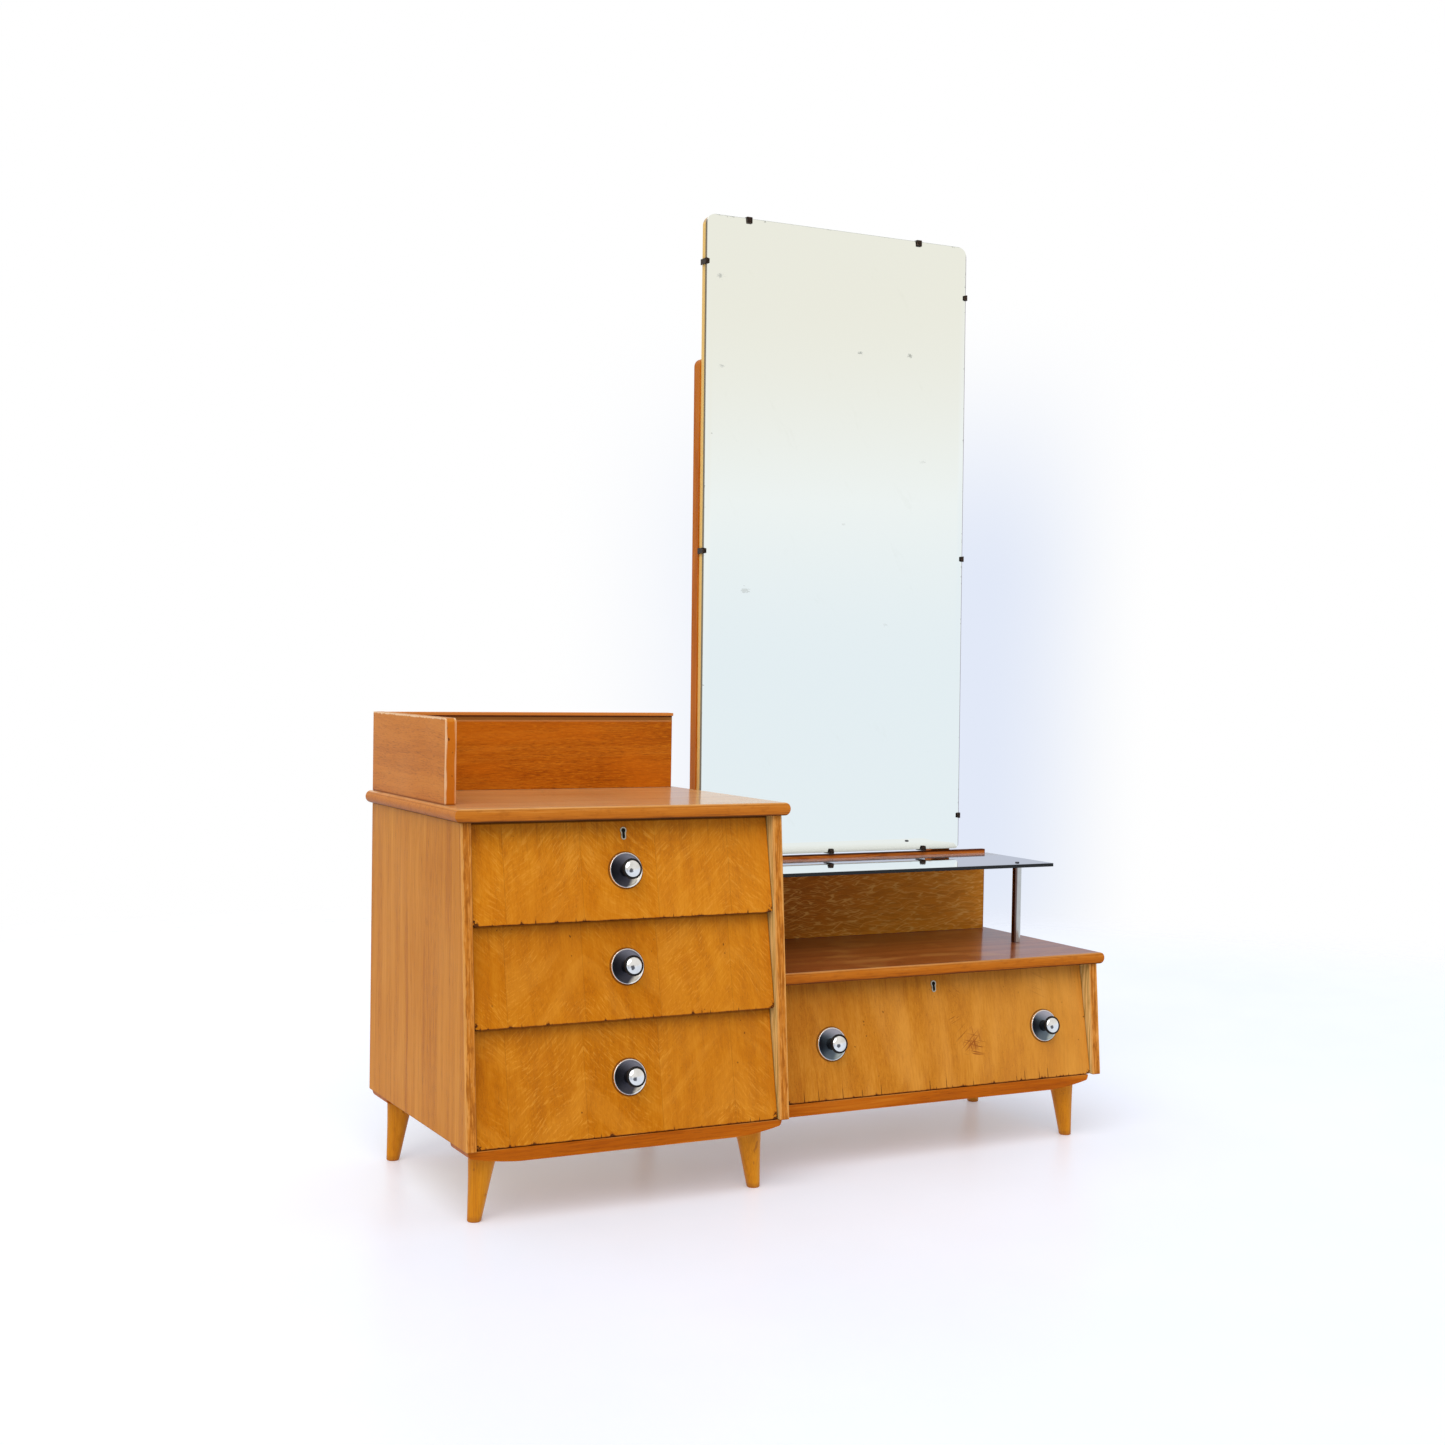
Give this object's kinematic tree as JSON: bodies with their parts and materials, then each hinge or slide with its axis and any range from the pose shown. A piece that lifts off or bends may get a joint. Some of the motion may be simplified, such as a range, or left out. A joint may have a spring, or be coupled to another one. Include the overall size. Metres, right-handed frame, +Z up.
{
  "type": "vanity table with mirror",
  "caption": "Low vanity with a drawer chest on one side, a lower console with a wide drawer, a raised black glass shelf and a tall frameless bevelled mirror, on splayed turned legs.",
  "frame": {"origin": "centre of the bounding box's bottom face, on the floor", "axes": "+Z up; +X to the right as seen by someone facing the drawers; the drawers open towards -Y and the mirror stands at +Y"},
  "size_m": [1.212, 0.4796, 1.5977],
  "materials": {
    "oak_veneer": "warm honey oak veneer under satin varnish, worn and chipped along the bottom edges",
    "oak_side": "honey oak veneer on the side panels, upright grain, satin varnish",
    "oak_top": "paler oak on the two top boards, glossier varnish",
    "amber_oak": "deep amber oak on the gallery and the upstand, lengthways grain",
    "orange_beech": "orange stained beech on the cross rails and the mirror posts",
    "leg_beech": "honey stained beech, turned",
    "raw_wood": "unfinished inner wood",
    "plywood": "pale plywood backing board",
    "mirror": "silvered glass with a ground border and a few age spots",
    "black_glass": "opaque black polished glass",
    "chrome": "polished chrome",
    "black_plastic": "black gloss plastic",
    "bronze": "dark bronzed metal"
  },
  "bodies": {
    "carcass": {"chest_back": "raw_wood", "chest_bottom": "raw_wood", "chest_dust_board_lower": "raw_wood", "chest_dust_board_upper": "raw_wood", "chest_rail_front": "orange_beech", "chest_rail_rear": "orange_beech", "chest_side_left": "oak_side", "chest_side_right": "oak_side", "chest_top": "oak_top", "console_back": "raw_wood", "console_bottom": "raw_wood", "console_rail_front": "orange_beech", "console_rail_rear": "orange_beech", "console_side_left": "oak_side", "console_side_right": "oak_side", "console_spacer": "raw_wood", "console_top": "oak_top", "gallery_panel": "amber_oak", "gallery_rear_board": "amber_oak", "gallery_side": "amber_oak", "leg_chest_front_left": "leg_beech", "leg_chest_front_right": "leg_beech", "leg_chest_rear_left": "leg_beech", "leg_chest_rear_right": "leg_beech", "leg_console_front": "leg_beech", "leg_console_rear": "leg_beech", "mirror_board": "plywood", "mirror_clip_top_left": "bronze", "mirror_clip_top_right": "bronze", "mirror_glass": "mirror", "mirror_post_left": "orange_beech", "mirror_post_right": "orange_beech", "shelf_glass": "black_glass", "shelf_rod_left": "chrome", "shelf_rod_right": "chrome", "upstand_board": "amber_oak"},
    "drawer_upper": {"drawer_upper_bottom": "raw_wood", "drawer_upper_box": "raw_wood", "drawer_upper_front": "oak_veneer", "escutcheon_upper": "chrome", "knob_upper": "black_plastic", "rose_upper": "chrome"},
    "drawer_middle": {"drawer_middle_bottom": "raw_wood", "drawer_middle_box": "raw_wood", "drawer_middle_front": "oak_veneer", "knob_middle": "black_plastic", "rose_middle": "chrome"},
    "drawer_lower": {"drawer_lower_bottom": "raw_wood", "drawer_lower_box": "raw_wood", "drawer_lower_front": "oak_veneer", "knob_lower": "black_plastic", "rose_lower": "chrome"},
    "drawer_wide": {"drawer_wide_bottom": "raw_wood", "drawer_wide_box": "raw_wood", "drawer_wide_front": "oak_veneer", "escutcheon_wide": "chrome", "knob_wide_left": "black_plastic", "knob_wide_right": "black_plastic", "rose_wide_left": "chrome", "rose_wide_right": "chrome"}
  },
  "joints": [
    {"name": "drawer_upper_slide", "type": "slide", "parent": "carcass", "child": "drawer_upper", "axis": [0, -1, 0], "range_m": [0, 0.28]},
    {"name": "drawer_middle_slide", "type": "slide", "parent": "carcass", "child": "drawer_middle", "axis": [0, -1, 0], "range_m": [0, 0.28]},
    {"name": "drawer_lower_slide", "type": "slide", "parent": "carcass", "child": "drawer_lower", "axis": [0, -1, 0], "range_m": [0, 0.28]},
    {"name": "drawer_wide_slide", "type": "slide", "parent": "carcass", "child": "drawer_wide", "axis": [0, -1, 0], "range_m": [0, 0.22]}
  ]
}
